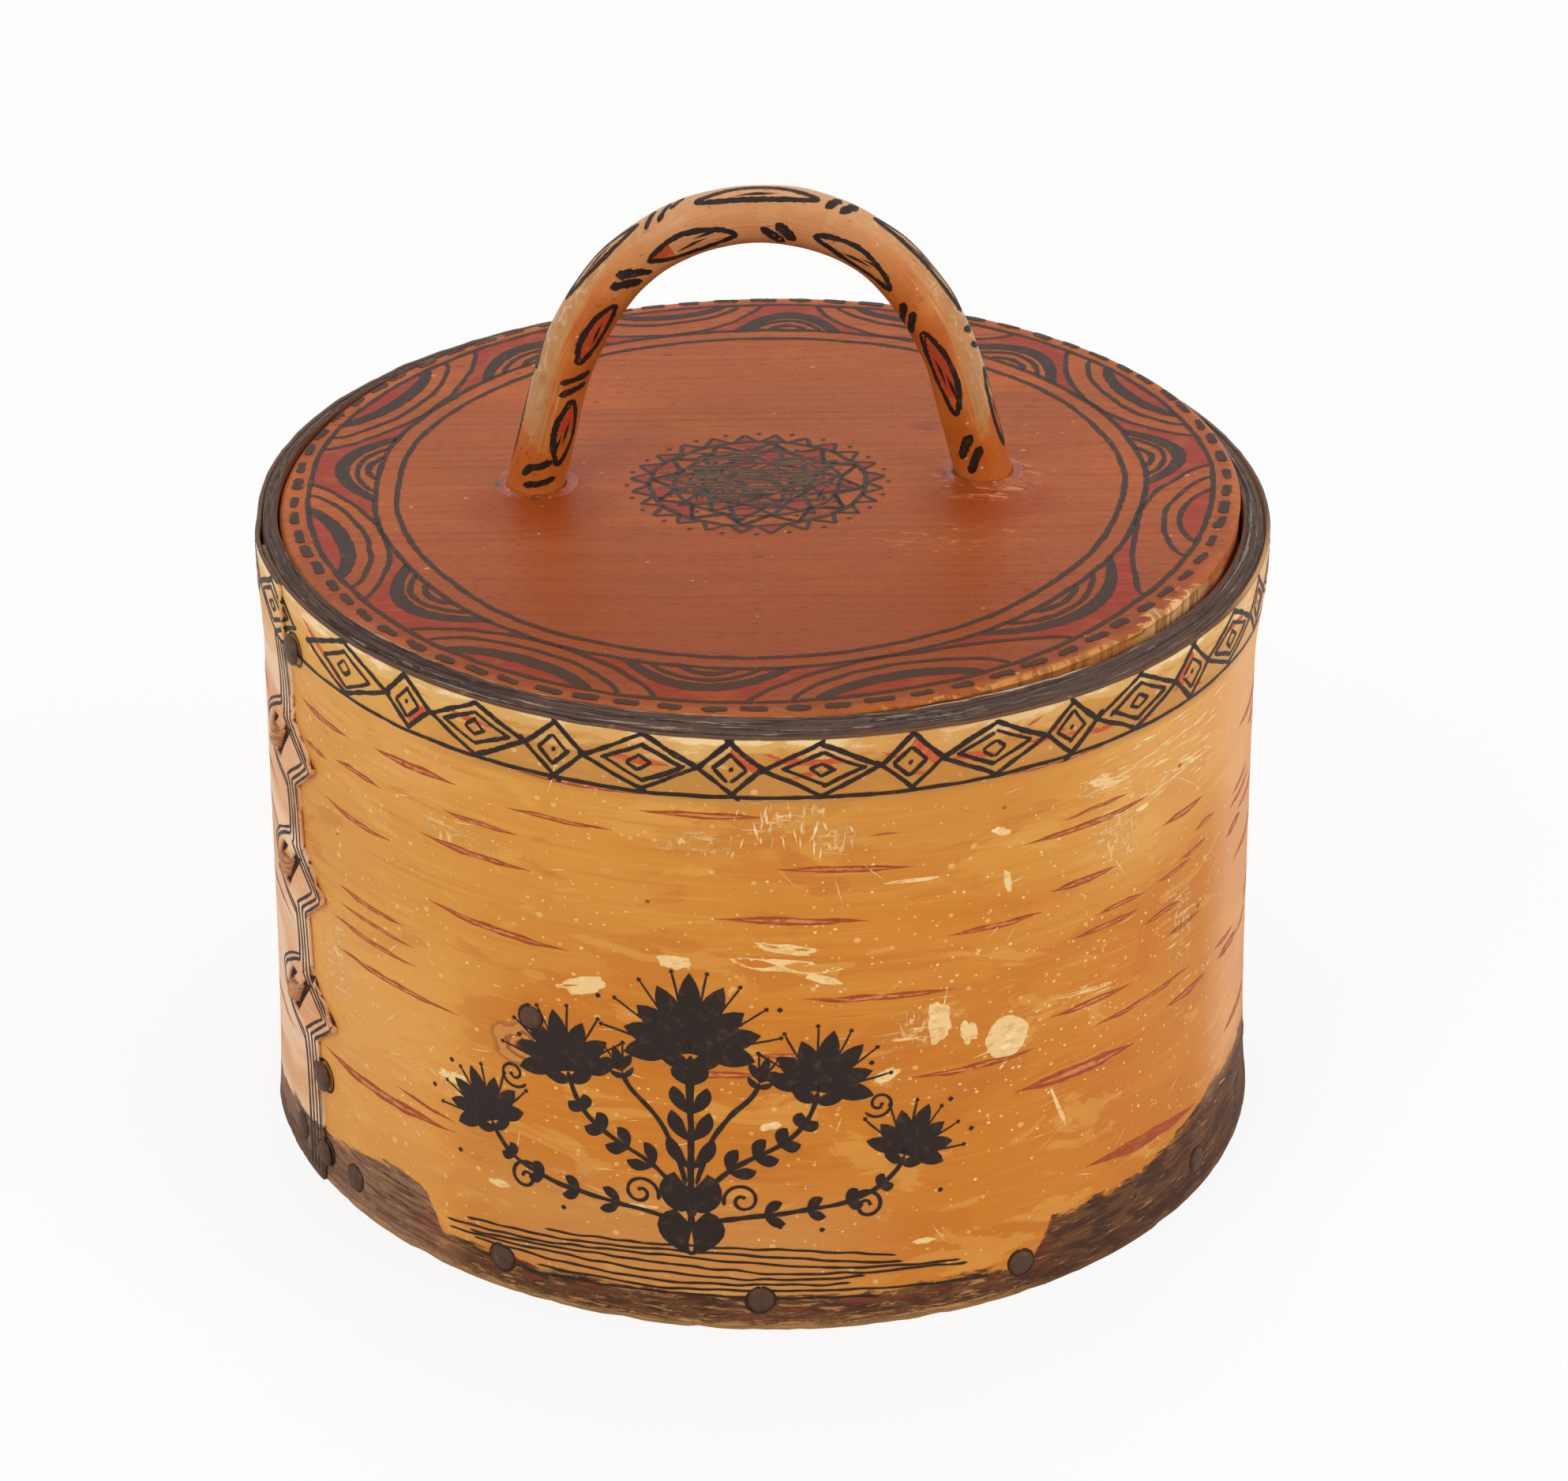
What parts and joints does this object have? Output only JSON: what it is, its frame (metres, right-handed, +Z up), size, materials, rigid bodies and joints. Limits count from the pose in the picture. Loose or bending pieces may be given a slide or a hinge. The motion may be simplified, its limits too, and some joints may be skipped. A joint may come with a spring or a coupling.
{
  "type": "bark canister",
  "caption": "Round birch-bark box with an interlocked bark seam, a tacked wooden bottom and a lift-off wooden plug lid carried by a bent-twig handle.",
  "frame": {"origin": "centre of the base on the floor, under the middle of the bottom board", "axes": "+Z up, the painted front faces -Y, the handle's two feet lie along X"},
  "size_m": [0.192, 0.192, 0.1824],
  "materials": {
    "bark_sheet": "varnished birch bark, amber with red-brown lenticels",
    "bark_tube": "dark laminated bark edge, dull",
    "bark_lining": "smooth inner bark, dull",
    "pine_board": "bare planed pine",
    "tack_iron": "dark rusted iron",
    "lid_pine": "orange-brown stained and varnished pine",
    "twig": "peeled and varnished twig",
    "peg_wood": "whittled wood"
  },
  "bodies": {
    "box": {"outer_bark_sheet": "bark_sheet", "inner_bark_tube": "bark_tube", "inner_lining": "bark_lining", "bottom_board": "pine_board", "base_tacks": "tack_iron", "seam_tacks": "tack_iron", "knot_tack": "tack_iron"},
    "lid": {"lid_board": "lid_pine", "twig_handle": "twig", "handle_peg_left": "peg_wood", "handle_peg_right": "peg_wood"}
  },
  "joints": [
    {"name": "lid_lift", "type": "slide", "parent": "box", "child": "lid", "axis": [0, 0, 1], "range_m": [0, 0.15]}
  ]
}
